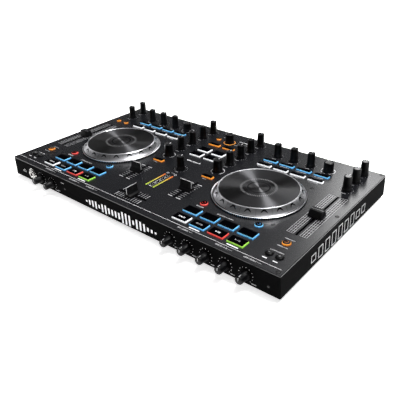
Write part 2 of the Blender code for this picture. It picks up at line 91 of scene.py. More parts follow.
def link(tree, source, output, target, socket):
    tree.links.new(source.outputs[output], target.inputs[socket])


def add_node(tree, kind, **values):
    node = tree.nodes.new(kind)
    for key, value in values.items():
        if key in node.inputs:
            node.inputs[key].default_value = value
        else:
            setattr(node, key, value)
    return node


def ramp(tree, source, stops):
    """A colour ramp fed by a value, with (position, colour) stops."""
    node = tree.nodes.new("ShaderNodeValToRGB")
    link(tree, source, "Fac", node, "Fac")
    elements = node.color_ramp.elements
    while len(elements) < len(stops):
        elements.new(0.5)
    for element, (position, colour) in zip(elements, stops):
        element.position = position
        element.color = (*colour, 1.0)
    return node


def vary_gloss(tree, source, shader, low, high):
    """Lets a texture move the roughness between two values."""
    spread = add_node(tree, "ShaderNodeMapRange")
    spread.inputs["To Min"].default_value = low
    spread.inputs["To Max"].default_value = high
    link(tree, source, "Fac", spread, "Value")
    link(tree, spread, "Result", shader, "Roughness")


def add_relief(tree, source, shader, strength, distance):
    """Lets a texture raise the surface, over a distance in metres."""
    relief = add_node(tree, "ShaderNodeBump", Strength=strength, Distance=distance)
    link(tree, source, "Fac", relief, "Height")
    link(tree, relief, "Normal", shader, "Normal")


def scaled(colour, factor):
    return tuple(min(1.0, channel * factor) for channel in colour)


def surface(name, colour, rough, metallic=0.0, grain=400.0, bump=0.02, vary=0.12, rough_vary=0.08,
            **fixed):
    """Principled surface whose colour, roughness and bump vary with two scales of noise."""
    material, tree, shader = new_material(name)
    place = add_node(tree, "ShaderNodeTexCoord")
    coarse = add_node(tree, "ShaderNodeTexNoise", Scale=grain / 12, Detail=4.0)
    fine = add_node(tree, "ShaderNodeTexNoise", Scale=grain, Detail=3.0, Roughness=0.6)
    link(tree, place, "Object", coarse, "Vector")
    link(tree, place, "Object", fine, "Vector")
    stops = [(0.3, scaled(colour, 1 - vary)), (0.7, scaled(colour, 1 + vary))]
    tint = ramp(tree, coarse, stops)
    link(tree, tint, "Color", shader, "Base Color")
    vary_gloss(tree, fine, shader, max(0.02, rough - rough_vary), min(1.0, rough + rough_vary))
    add_relief(tree, fine, shader, bump * 10, 0.0001)
    shader.inputs["Metallic"].default_value = metallic
    for key, value in fixed.items():
        shader.inputs[key.replace("_", " ")].default_value = value
    return material


def glow(name, colour, strength, lift=0.55):
    """Translucent plastic lit from below, a little brighter in fine upright bands."""
    material, tree, shader = new_material(name)
    place = add_node(tree, "ShaderNodeTexCoord")
    bands = add_node(tree, "ShaderNodeTexNoise", Scale=700.0, Detail=1.0)
    squeeze = add_node(tree, "ShaderNodeMapping")
    squeeze.inputs["Scale"].default_value = (1.0, 1.0, 0.15)
    link(tree, place, "Object", squeeze, "Vector")
    link(tree, squeeze, "Vector", bands, "Vector")
    tint = ramp(tree, bands, [(0.35, scaled(colour, lift)), (0.62, colour)])
    link(tree, tint, "Color", shader, "Emission Color")
    link(tree, tint, "Color", shader, "Base Color")
    shader.inputs["Emission Strength"].default_value = strength
    shader.inputs["Roughness"].default_value = 0.3
    return material


def turned_metal(name, colour, rough):
    """Metal turned on a lathe: fine rings about the piece's own centre and streaked gloss."""
    material, tree, shader = new_material(name)
    place = add_node(tree, "ShaderNodeTexCoord")
    rings = add_node(tree, "ShaderNodeTexWave", wave_type="RINGS", rings_direction="SPHERICAL",
                     Scale=700.0, Distortion=0.0)
    link(tree, place, "Object", rings, "Vector")
    speck = add_node(tree, "ShaderNodeTexNoise", Scale=900.0, Detail=2.0)
    link(tree, place, "Object", speck, "Vector")
    tint = ramp(tree, rings, [(0.0, scaled(colour, 0.8)), (1.0, colour)])
    link(tree, tint, "Color", shader, "Base Color")
    vary_gloss(tree, speck, shader, rough * 0.97, rough * 1.03)
    add_relief(tree, rings, shader, 0.05, 0.00005)
    around = add_node(tree, "ShaderNodeTangent", direction_type="RADIAL", axis="Z")
    link(tree, around, "Tangent", shader, "Tangent")
    shader.inputs["Anisotropic"].default_value = 1.0
    shader.inputs["Anisotropic Rotation"].default_value = 0.25
    shader.inputs["Metallic"].default_value = 1.0
    return material


PANEL = surface("panel_paint", (0.006, 0.0063, 0.0078), 0.27, grain=1500, bump=0.0015,
                vary=0.05, rough_vary=0.008)
BLACK = surface("case_black", (0.0024, 0.0024, 0.0026), 0.7, grain=1800, bump=0.03, vary=0.08,
                Specular_IOR_Level=0.01)
RUBBER = surface("soft_rubber", (0.002, 0.002, 0.0024), 0.3, grain=1600, bump=0.01, vary=0.15,
                 Specular_IOR_Level=0.12)
# Glossy knob tops, painted a lighter grey than the rubber as painted sheen.
CROWN_WITH_SHEEN = surface("knob_crown_painted_sheen", (0.012, 0.012, 0.013), 0.22, grain=900, bump=0.005, vary=0.1,
                rough_vary=0.03)
KEY_TOP = surface("key_top", (0.0006, 0.0006, 0.001), 0.22, grain=900, bump=0.01, vary=0.2,
                  Specular_IOR_Level=0.004)
FADER_BLACK = surface("fader_black", (0.002, 0.002, 0.0025), 0.35, grain=1200, bump=0.02,
                      vary=0.15, Specular_IOR_Level=0.12)
# Near-black used as painted shade in the screw recesses and in the gap, slots and barrel of the
# jack, and as the dark window of the level meters.
SHADE_AND_DARK_TRIM = surface("painted_shade_and_dark_trim", (0.002, 0.002, 0.002), 0.8, grain=500, bump=0.02,
                 Specular_IOR_Level=0.1)
CHROME = surface("jog_chrome", (0.48, 0.48, 0.5), 0.3, 1.0, grain=700, bump=0.0015, vary=0.04,
                 rough_vary=0.03)
TICK = surface("disc_tick", (0.17, 0.17, 0.175), 0.5, grain=700, bump=0.01, vary=0.1)
# Lighter copy of the chrome for polished edges, painted lighter as their highlight.
POLISH_AND_HIGHLIGHT = surface("polished_edge_painted_highlight", (0.9, 0.9, 0.93), 0.3, 1.0, grain=900, bump=0.005, vary=0.03,
                 rough_vary=0.04)
NICKEL = surface("nickel", (0.62, 0.61, 0.59), 0.2, 1.0, grain=900, bump=0.01, vary=0.05)
GOLD = surface("gold", (0.85, 0.62, 0.28), 0.22, 1.0, grain=900, bump=0.01, vary=0.05)
DISC = turned_metal("jog_disc", (0.06, 0.06, 0.063), 0.38)
DISC_CORE = turned_metal("jog_core", (0.075, 0.075, 0.078), 0.5)
INK = surface("white_ink", (0.8, 0.8, 0.82), 0.5, grain=1500, bump=0.02, vary=0.05)
GREY_INK = surface("grey_ink", (0.36, 0.36, 0.37), 0.5, grain=1500, bump=0.02, vary=0.08)
SIDE_INK = surface("side_ink", (0.4, 0.4, 0.41), 0.4, grain=1500, bump=0.02, vary=0.08)
# Near-black for dark print and seams, and as painted shade in the notches, the groove and the
# knurl teeth of the jog ring.
DARK_PRINT_AND_SHADE = surface("dark_print_and_painted_shade", (0.003, 0.003, 0.004), 0.5, grain=700, bump=0.01,
                Specular_IOR_Level=0.1)
SCREW = surface("screw_black", (0.006, 0.006, 0.0065), 0.3, grain=1400, bump=0.02)
# The main board in near-black: painted shade seen through the slots of the panel.
BOARD_PAINTED_SHADE = surface("board_painted_shade", (0.002, 0.003, 0.0025), 0.5, grain=900, bump=0.03, vary=0.25,
                Specular_IOR_Level=0.1)
FOOT = surface("foot_rubber", (0.01, 0.01, 0.01), 0.75, grain=1400, bump=0.08, vary=0.2)
RED_PLASTIC = surface("red_plastic", (0.5, 0.02, 0.02), 0.35, grain=900, bump=0.02)
WHITE_PLASTIC = surface("white_plastic", (0.7, 0.7, 0.68), 0.35, grain=900, bump=0.02)
BLUE_RIM = glow("blue_rim", (0.22, 0.64, 0.95), 0.62, 0.75)
BLUE_GLOW = glow("blue_glow", (0.06, 0.3, 0.68), 0.6, 0.4)
WHITE_RIM = glow("white_rim", (0.95, 0.97, 1.0), 0.75, 0.9)
WHITE_GLOW = glow("white_glow", (0.8, 0.81, 0.83), 0.6, 0.6)
RED_RIM = glow("red_rim", (0.82, 0.1, 0.08), 0.8, 0.75)
RED_GLOW = glow("red_glow", (0.55, 0.03, 0.028), 0.65, 0.45)
GREEN_RIM = glow("green_rim", (0.38, 0.7, 0.1), 0.8, 0.75)
GREEN_GLOW = glow("green_glow", (0.2, 0.5, 0.04), 0.6, 0.4)
ORANGE_RIM = glow("orange_rim", (0.98, 0.38, 0.05), 0.75, 0.7)
ORANGE_GLOW = glow("orange_glow", (0.7, 0.2, 0.015), 0.6, 0.45)


# ---- mesh building

def new_object(name, data):
    item = bpy.data.objects.new(name, data)
    bpy.context.scene.collection.objects.link(item)
    return item


class Shape:
    """A bmesh in millimetres about a place, that becomes one piece with several materials."""

    def __init__(self, *materials):
        self.mesh = bmesh.new()
        self.materials = materials

    def loft(self, rings, material=0, smooth=True):
        """Joins rings of points, listed from the top down and anticlockwise seen from above."""
        loops = [[self.mesh.verts.new(point) for point in ring] for ring in rings]
        faces = []
        for upper, lower in zip(loops, loops[1:]):
            count = max(len(upper), len(lower))
            for i in range(count):
                j = (i + 1) % count
                if len(upper) == 1:
                    corners = (upper[0], lower[i], lower[j])
                elif len(lower) == 1:
                    corners = (upper[j], upper[i], lower[0])
                else:
                    corners = (upper[j], upper[i], lower[i], lower[j])
                faces.append(self.mesh.faces.new(corners))
        if len(loops[0]) > 2:
            faces.append(self.mesh.faces.new(loops[0]))
        if len(loops[-1]) > 2:
            faces.append(self.mesh.faces.new(list(reversed(loops[-1]))))
        for face in faces:
            face.material_index = material
            face.smooth = smooth
        return faces

    def lathe(self, profile, sides, centre=(0.0, 0.0), material=0, flute=None):
        """Turns (radius, height[, flute depth]) points, top to bottom, about an upright axis."""
        rings = []
        for radius, height, *depth in profile:
            if radius <= 0.0:
                rings.append([Vector((centre[0], centre[1], height))])
                continue
            ring = []
            for i in range(sides):
                angle = 2 * math.pi * i / sides
                reach = radius
                if depth:
                    reach -= depth[0] * (0.5 - 0.5 * math.cos(flute * angle)) ** 2
                ring.append(Vector((centre[0] + reach * math.cos(angle),
                                    centre[1] + reach * math.sin(angle), height)))
            rings.append(ring)
        return self.loft(rings, material)

    def ring(self, profile, sides, centre=(0.0, 0.0), material=0):
        """Turns a closed loop of (radius, height) points, top outer side first, into a ring."""
        loops = []
        for radius, height in profile:
            loops.append([self.mesh.verts.new((centre[0] + radius * math.cos(a),
                                               centre[1] + radius * math.sin(a), height))
                          for a in (2 * math.pi * i / sides for i in range(sides))])
        for upper, lower in zip(loops, loops[1:] + loops[:1]):
            for i in range(sides):
                j = (i + 1) % sides
                face = self.mesh.faces.new((upper[j], upper[i], lower[i], lower[j]))
                face.material_index = material
                face.smooth = True

    def block(self, levels, centre=(0.0, 0.0), material=0, steps=3, smooth=True):
        """Stacks rounded rectangles (width, depth, corner radius, height), top to bottom.

        A level may end with its own offset (dx, dy) from the centre."""
        rings = []
        for wide, deep, radius, height, *shift in levels:
            dx, dy = shift[0] if shift else (0.0, 0.0)
            ring = []
            for quarter, (sx, sy) in enumerate(((1, 1), (-1, 1), (-1, -1), (1, -1))):
                cx = centre[0] + dx + sx * (wide / 2 - radius)
                cy = centre[1] + dy + sy * (deep / 2 - radius)
                for step in range(steps + 1):
                    angle = math.pi / 2 * (quarter + step / steps)
                    ring.append(Vector((cx + radius * math.cos(angle),
                                        cy + radius * math.sin(angle), height)))
            rings.append(ring)
        return self.loft(rings, material, smooth=smooth)

    def slab(self, low, high, material=0, edge=0.0):
        """A box between two corners, with bevelled edges if edge is set."""
        size = Vector(high) - Vector(low)
        centre = (Vector(high) + Vector(low)) / 2
        matrix = Matrix.Translation(centre) @ Matrix.Diagonal((*size, 1.0))
        verts = bmesh.ops.create_cube(self.mesh, size=1.0, matrix=matrix)["verts"]
        faces = {face for vert in verts for face in vert.link_faces}
        for face in faces:
            face.material_index = material
        if edge:
            edges = list({e for vert in verts for e in vert.link_edges})
            bmesh.ops.bevel(self.mesh, geom=edges, offset=edge, segments=2, profile=0.5,
                            affect="EDGES", material=-1)

    def line(self, start, end, width, material=0, z=0.0):
        """A straight printed stroke on a level surface."""
        start, end = Vector(start).to_2d(), Vector(end).to_2d()
        along = (end - start).normalized()
        side = Vector((-along.y, along.x)) * width / 2
        corners = [start + side, start - side, end - side, end + side]
        self.plate(corners, (z + INK_DEPTH, z), material)

    def plate(self, corners, heights, material, place=Matrix()):
        """A flat-sided block: an anticlockwise outline between two heights, upper one first."""
        self.loft([[place @ Vector((x, y, height)) for x, y in corners] for height in heights],
                  material, smooth=False)

    def arc(self, centre, radius, start, end, width, material=0, z=0.0, steps=40,
            thick=INK_DEPTH):
        """A printed arc between two angles in degrees."""
        inner, outer = radius - width / 2, radius + width / 2
        angles = [math.radians(start + (end - start) * i / steps) for i in range(steps + 1)]
        inner_top, inner_low, outer_top, outer_low = [
            [self.mesh.verts.new((centre[0] + r * math.cos(a), centre[1] + r * math.sin(a), z + t))
             for a in angles] for r in (inner, outer) for t in (thick, 0.0)]
        for i in range(steps):
            quads = ((inner_top[i], outer_top[i], outer_top[i + 1], inner_top[i + 1]),
                     (outer_top[i], outer_low[i], outer_low[i + 1], outer_top[i + 1]),
                     (inner_low[i], inner_top[i], inner_top[i + 1], inner_low[i + 1]),
                     (outer_low[i], inner_low[i], inner_low[i + 1], outer_low[i + 1]))
            for quad in quads:
                self.mesh.faces.new(quad).material_index = material
        for i, flip in ((0, False), (steps, True)):
            quad = [inner_top[i], inner_low[i], outer_low[i], outer_top[i]]
            face = self.mesh.faces.new(list(reversed(quad)) if flip else quad)
            face.material_index = material

    def dashes(self, start, length, height, material=1):
        """A row of short upright strokes that stands for a small printed caption."""
        x, y = start
        end = x + length
        gap = 0.35
        while x < end - 0.4:
            width = min(RANDOM.uniform(0.5, 1.15), end - x)
            tall = height * RANDOM.choice((0.75, 1.0, 1.0))
            self.line((x + width / 2, y), (x + width / 2, y + tall), width, material)
            x += width + (gap if RANDOM.random() < 0.85 else 3 * gap)

    def transform(self, matrix):
        bmesh.ops.transform(self.mesh, matrix=matrix, verts=self.mesh.verts)

    def piece(self, name, origin, body, replaces=None, turn=None, crease=32.0):
        """Makes the object at an origin in millimetres, riding on a body."""
        self.mesh.normal_update()
        self.transform(Matrix.Scale(MM, 4))
        data = bpy.data.meshes.new(name)
        self.mesh.to_mesh(data)
        self.mesh.free()
        for material in self.materials:
            data.materials.append(material)
        data.set_sharp_from_angle(angle=math.radians(crease))
        item = new_object(name, data)
        place = Matrix.Translation(Vector(origin) * MM)
        item.matrix_world = place @ turn if turn else place
        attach(item, body)
        if replaces:
            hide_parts(replaces)


FACE_FRONT = Matrix.Rotation(math.pi / 2, 4, "X")
FACE_RIGHT = Matrix.Rotation(math.pi / 2, 4, "Z") @ FACE_FRONT
FACE_REAR = Matrix.Rotation(math.pi, 4, "Z") @ FACE_FRONT
FACE_LEFT = Matrix.Rotation(-math.pi / 2, 4, "Z") @ FACE_FRONT


# ---- knobs

# Height, skirt radius, waist radius (knobs only) and top radius.
TALL_KNOB = (22.0, 6.8, 5.95, 5.6)
FILTER_KNOB = (19.5, 7.8, 7.15, 6.7)
EFFECT_ENCODER = (15.0, 7.8, 7.2)
BROWSE_ENCODER = (16.0, 8.0, 7.3)


def tall_knob(name, height, skirt, waist, top):
    """Push-on rubber knob: flared skirt, fine flutes, glossy dished crown painted a lighter grey
    as painted sheen, and a pointer line.
    """
    shape = Shape(RUBBER, INK, CROWN_WITH_SHEEN)
    profile = [(0.0, height - 0.5), (top - 1.5, height - 0.45), (top - 0.9, height - 0.05),
               (top - 0.45, height), (top - 0.12, height - 0.35), (top, height - 1.0),
               (top + 0.03, height - 1.5, 0.2), (waist - 0.05, height * 0.42, 0.3),
               (waist, 5.2, 0.3), (waist + 0.15, 4.2, 0.12), (skirt - 0.35, 3.2),
               (skirt - 0.05, 2.3), (skirt, 0.7), (skirt - 0.25, 0.4), (3.2, 0.4), (3.0, ROOT),
               (0.0, ROOT)]
    for face in shape.lathe(profile, sides=72, flute=18):
        centre = face.calc_center_median()
        # Painted sheen: the dished top in the lighter crown material.
        if centre.z > height - 0.52 and centre.to_2d().length < top - 0.95:
            face.material_index = 2
    shape.slab((-0.3, top * 0.35, height - 0.5), (0.3, top - 0.15, height + 0.08), 1)
    shape.slab((-0.3, top - 0.55, height - 5.0), (0.3, top + 0.1, height - 0.3), 1)
    centre = middle(name)
    shape.piece(name + "_look", (centre.x, centre.y, TOP), name, name)


def encoder_knob(name, height, skirt, top):
    """Endless encoder: straight coarse flutes, glossy dished top painted a lighter grey as painted
    sheen, and no pointer.
    """
    shape = Shape(RUBBER, CROWN_WITH_SHEEN)
    profile = [(0.0, height - 0.7), (top - 2.0, height - 0.62), (top - 1.3, height - 0.1),
               (top - 0.7, height), (top - 0.15, height - 0.35), (top, height - 0.9),
               (top + 0.03, height - 1.4, 0.5), (skirt - 0.3, 3.4, 0.5), (skirt - 0.1, 2.8),
               (skirt, 1.6), (skirt - 0.1, 0.6), (skirt - 0.4, 0.4), (3.2, 0.4), (3.0, ROOT),
               (0.0, ROOT)]
    for face in shape.lathe(profile, sides=96, flute=24):
        centre = face.calc_center_median()
        # Painted sheen: the dished top in the lighter crown material.
        if centre.z > height - 0.72 and centre.to_2d().length < top - 1.4:
            face.material_index = 1
    centre = middle(name)
    shape.piece(name + "_look", (centre.x, centre.y, TOP), name, name)


def front_knob(name):
    """Round trim knob on the front edge: collar, fine flutes, domed end and a thin line."""
    centre = middle(name)
    shape = Shape(FADER_BLACK, INK)
    profile = [(0.0, 15.0), (3.6, 14.95), (4.7, 14.6), (5.2, 13.9), (5.35, 13.0),
               (5.4, 12.4, 0.3), (5.6, 4.2, 0.3), (5.7, 3.5), (6.3, 2.6), (6.4, 1.9), (6.4, 0.7),
               (6.2, 0.4), (3.2, 0.4), (3.0, ROOT), (0.0, ROOT)]
    shape.lathe(profile, sides=72, flute=16)
    shape.slab((-0.25, 0.6, 14.8), (0.25, 4.2, 15.06), 1)
    shape.slab((-0.25, 4.9, 8.6), (0.25, 5.45, 13.4), 1)
    shape.piece(name + "_look", (centre.x, FRONT, centre.z), name, name,
                turn=FACE_FRONT)


def build_knobs():
    for name in TALL:
        tall_knob(name, *TALL_KNOB)
    for name in (n for n in NODES if "filter" in n):
        tall_knob(name, *FILTER_KNOB)
    for name in (n for n in NODES if n.startswith("encoder_fx")):
        encoder_knob(name, *EFFECT_ENCODER)
    encoder_knob("encoder_browse", *BROWSE_ENCODER)
    for name in FRONT_KNOBS:
        front_knob(name)


# ---- keys

# Key sizes, key radii, and rows counted from the middle of the case.
PAD = (23.8, 14.6)
SLIM = (23.4, 8.0)
GRID = (21.8, 14.6)
LOAD = (21.5, 8.0)
CUE = (19.0, 8.0)
ROUND_RADIUS = 5.4
SMALL_RADIUS = 3.9
PAD_ROW = -100.4
TRANSPORT_ROW = -121.6
ROUND_ROW = -77.0
EFFECT_ROW = 87.8
LOOP_ROW = 69.5
LOAD_ROW = 85.6
BROWSE_ROWS = (59.6, 39.2)
CUE_ROW = -13.2
RESET_ROW = -89.6
BEND_ROW = -118.0
BEND_X = {"left": -228.5, "right": 230.0}
BEND_STEPS = (-6.9, 6.9)
SIGN_DEPTH = 0.07


def legend(shape, kind, centre, z, material):
    """Small generic transport signs on the keys, wide and low."""
    x, y = centre
    if kind == "shift":
        arrow = [(x - 1.4, y - 1.1), (x + 1.4, y - 1.1), (x, y + 1.2)]
        shape.plate(arrow, (z + SIGN_DEPTH, z), material)
        for side in (-1, 1):
            for step in (-0.8, 0.7):
                shape.line((x + side * 2.0, y + step), (x + side * 5.4, y + step), 0.75,
                           material, z)
    elif kind == "match":
        for side in (-1, 1):
            shape.arc((x + side * 3.6, y), 1.0, 0, 359, 0.5, material, z, steps=16)
            shape.line((x - 1.8, y + side * 0.7), (x + 1.8, y + side * 0.7), 0.45, material, z)
    elif kind == "mark":
        shape.arc((x - 2.7, y), 0.9, 0, 359, 0.55, material, z, steps=16)
        for step in (-1.0, 0.0, 1.0):
            shape.line((x - 0.6, y + step), (x + 3.6, y + step), 0.5, material, z)
    elif kind == "play":
        arrow = [(x - 3.8, y - 1.1), (x - 1.5, y), (x - 3.8, y + 1.1)]
        shape.plate(arrow, (z + SIGN_DEPTH, z), material)
        shape.line((x - 0.6, y - 1.1), (x + 0.6, y + 1.1), 0.4, material, z)
        for step in (1.9, 3.3):
            shape.line((x + step, y - 1.1), (x + step, y + 1.1), 0.6, material, z)


def key(shape, centre, size, rim, wall, sign=None, ink=None):
    """A lit skirt, brighter along its upper edge, under an opaque black cap."""
    wide, deep = size
    rise, flare = 1.75, 0.5
    radius = min(0.9, deep / 5)
    top_w, top_d = wide - 2 * flare, deep - 2 * flare
    shape.block([(top_w, top_d, radius * 0.8, rise - 0.7), (wide - 0.2, deep - 0.2, radius, 0.3),
                 (wide, deep, radius, 0.1), (wide, deep, radius, ROOT)], centre, wall)
    shape.block([(top_w - 0.2, top_d - 0.2, radius * 0.8, rise),
                 (top_w, top_d, radius * 0.8, rise - 0.1),
                 (top_w + 0.25, top_d + 0.25, radius * 0.8, rise - 0.85),
                 (top_w, top_d, radius * 0.8, rise - 0.95)], centre, rim)
    inner_w, inner_d = top_w - 0.35, top_d - 0.35
    shape.block([(inner_w - 0.7, inner_d - 0.7, radius * 0.6, rise + 0.45),
                 (inner_w - 0.2, inner_d - 0.2, radius * 0.7, rise + 0.38),
                 (inner_w, inner_d, radius * 0.7, rise + 0.2),
                 (inner_w, inner_d, radius * 0.7, rise - 0.2)], centre)
    if sign:
        legend(shape, sign, centre, rise + 0.42, ink)


def round_key(shape, centre, radius, rim, wall):
    """A round key: lit skirt under a slightly domed black cap with a small dim sign."""
    rise = 1.8
    shape.lathe([(0.0, rise), (radius - 0.45, rise), (radius - 0.25, rise - 0.15),
                 (radius - 0.1, rise - 0.9), (radius - 0.3, rise - 1.0), (0.0, rise - 1.0)], 40,
                centre, rim)
    shape.lathe([(0.0, rise - 0.8), (radius - 0.25, rise - 0.8), (radius, 0.3), (radius, ROOT),
                 (0.0, ROOT)], 40, centre, wall)
    inner = radius - 0.5
    shape.lathe([(0.0, rise + 0.5), (inner * 0.6, rise + 0.46), (inner - 0.35, rise + 0.35),
                 (inner, rise + 0.1), (inner, rise - 0.3), (0.0, rise - 0.3)], 40, centre)
    shape.arc(centre, inner * 0.42, 200, 470, 0.3, wall, rise + 0.46, steps=18)


def bend_key(shape, centre):
    """A domed black key without light."""
    shape.lathe([(0.0, 2.3), (2.4, 2.28), (3.8, 2.1), (4.6, 1.6), (4.95, 0.9), (5.0, 0.3),
                 (5.0, ROOT), (0.0, ROOT)], 40, centre)


def build_keys():
    """All the keys of the panel, one piece for each key group of the frame."""
    for word in SIDES:
        deck_x = DECK[word].x - CASE_X
        body = "pads_" + word
        shape = Shape(KEY_TOP, BLUE_RIM, BLUE_GLOW, RED_RIM, RED_GLOW)
        for offset in COLUMNS:
            key(shape, (deck_x + offset, PAD_ROW), PAD, 1, 2)
        round_key(shape, (deck_x + COLUMNS[0], ROUND_ROW), ROUND_RADIUS, 3, 4)
        round_key(shape, (deck_x + COLUMNS[3], ROUND_ROW), ROUND_RADIUS, 1, 2)
        shape.piece(body + "_look", PANEL_MIDDLE, body, body)

        body = "transport_" + word
        shape = Shape(KEY_TOP, WHITE_RIM, WHITE_GLOW, BLUE_RIM, BLUE_GLOW, RED_RIM, RED_GLOW,
                      GREEN_RIM, GREEN_GLOW, INK, GREY_INK)
        signs = (("shift", 9), ("match", 10), ("mark", 9), ("play", 10))
        for index, (sign, ink) in enumerate(signs):
            key(shape, (deck_x + COLUMNS[index], TRANSPORT_ROW), PAD, 2 * index + 1,
                2 * index + 2, sign, ink)
        shape.piece(body + "_look", PANEL_MIDDLE, body, body)

        body = "fx_buttons_" + word
        shape = Shape(KEY_TOP, BLUE_RIM, BLUE_GLOW, WHITE_RIM, WHITE_GLOW, ORANGE_RIM, ORANGE_GLOW)
        for offset in COLUMNS:
            key(shape, (deck_x + offset, EFFECT_ROW), SLIM, 1, 2)
            key(shape, (deck_x + offset, LOOP_ROW), SLIM, 3, 4)
        if word == "left":
            for x in (-236.6, -216.5):
                round_key(shape, (x, LOOP_ROW), SMALL_RADIUS, 5, 6)
        shape.piece(body + "_look", PANEL_MIDDLE, body, body)

        body = "corner_buttons_" + word
        shape = Shape(RUBBER, ORANGE_RIM, ORANGE_GLOW, GREY_INK)
        round_key(shape, (EDGE[word] - CASE_X, RESET_ROW), ROUND_RADIUS, 1, 2)
        for step in BEND_STEPS:
            x = BEND_X[word] + step
            bend_key(shape, (x, BEND_ROW))
            shape.line((x - 1.2, BEND_ROW), (x + 1.2, BEND_ROW), 0.4, 3, 2.27)
        shape.line((x, BEND_ROW - 1.2), (x, BEND_ROW + 1.2), 0.4, 3, 2.27)
        shape.piece(body + "_look", PANEL_MIDDLE, body, body)

    shape = Shape(KEY_TOP, WHITE_RIM, WHITE_GLOW, ORANGE_RIM, ORANGE_GLOW)
    for x in (-14.5, 14.5):
        for y in BROWSE_ROWS:
            key(shape, (x, y), GRID, 1, 2)
        key(shape, (x, LOAD_ROW), LOAD, 3, 4)
    round_key(shape, (-23.5, 109.0), SMALL_RADIUS, 3, 4)
    shape.piece("browse_buttons_look", PANEL_MIDDLE, "browse_buttons",
                "browse_buttons")

    shape = Shape(KEY_TOP, ORANGE_RIM, ORANGE_GLOW)
    for word in SIDES:
        key(shape, (CHANNEL[word] - CASE_X, CUE_ROW), CUE, 1, 2)
    shape.piece("cue_buttons_look", PANEL_MIDDLE, "cue_buttons", "cue_buttons")


# ---- jog wheels

CONE_SLOPE = math.atan2(8.1, 6.4)
NOTCH_COUNT = 18
BEAD_COUNT = 150
TICK_COUNT = 60
# Outlines round the ring: the thin line between notches, and the teeth and beads of the rim. The
# teeth are near-black, as painted shade of the knurl.
SEAM = ((-0.1, -4.8), (0.1, -4.8), (0.1, 4.8), (-0.1, 4.8))
TOOTH = ((64.9, -0.85), (66.15, -0.6), (66.15, 0.6), (64.9, 0.85))
BEAD = ((63.5, -0.5), (64.1, -0.5), (64.1, 0.5), (63.5, 0.5))
DISC_TOP = 10.98


def on_cone(angle):
    """Matrix that lays a flat figure on the cone of the jog ring, upright at an angle."""
    place = Matrix.Rotation(angle + math.pi / 2, 4, "Z") @ Matrix.Translation((0, -60.1, 6.9))
    return place @ Matrix.Rotation(CONE_SLOPE, 4, "X")


def notch(shape, angle, material):
    """A dark arch-shaped plate just proud of the cone of the jog ring: painted shade where the
    ring has a recess.
    """
    outline = [(-4.7, -0.7), (-2.7, 0.5), (-1.4, 1.6), (0.0, 2.0), (1.4, 1.6), (2.7, 0.5),
               (4.7, -0.7), (3.7, 1.3), (2.7, 3.0), (1.6, 4.1), (0.0, 4.4), (-1.6, 4.1),
               (-2.7, 3.0), (-3.7, 1.3)]
    tilt = on_cone(angle)
    upper = [tilt @ Vector((x, y, 0.06 + 0.012 * x * x)) for x, y in outline]
    lower = [tilt @ Vector((x, y, -0.5)) for x, y in outline]
    shape.loft([upper, lower], material, smooth=False)


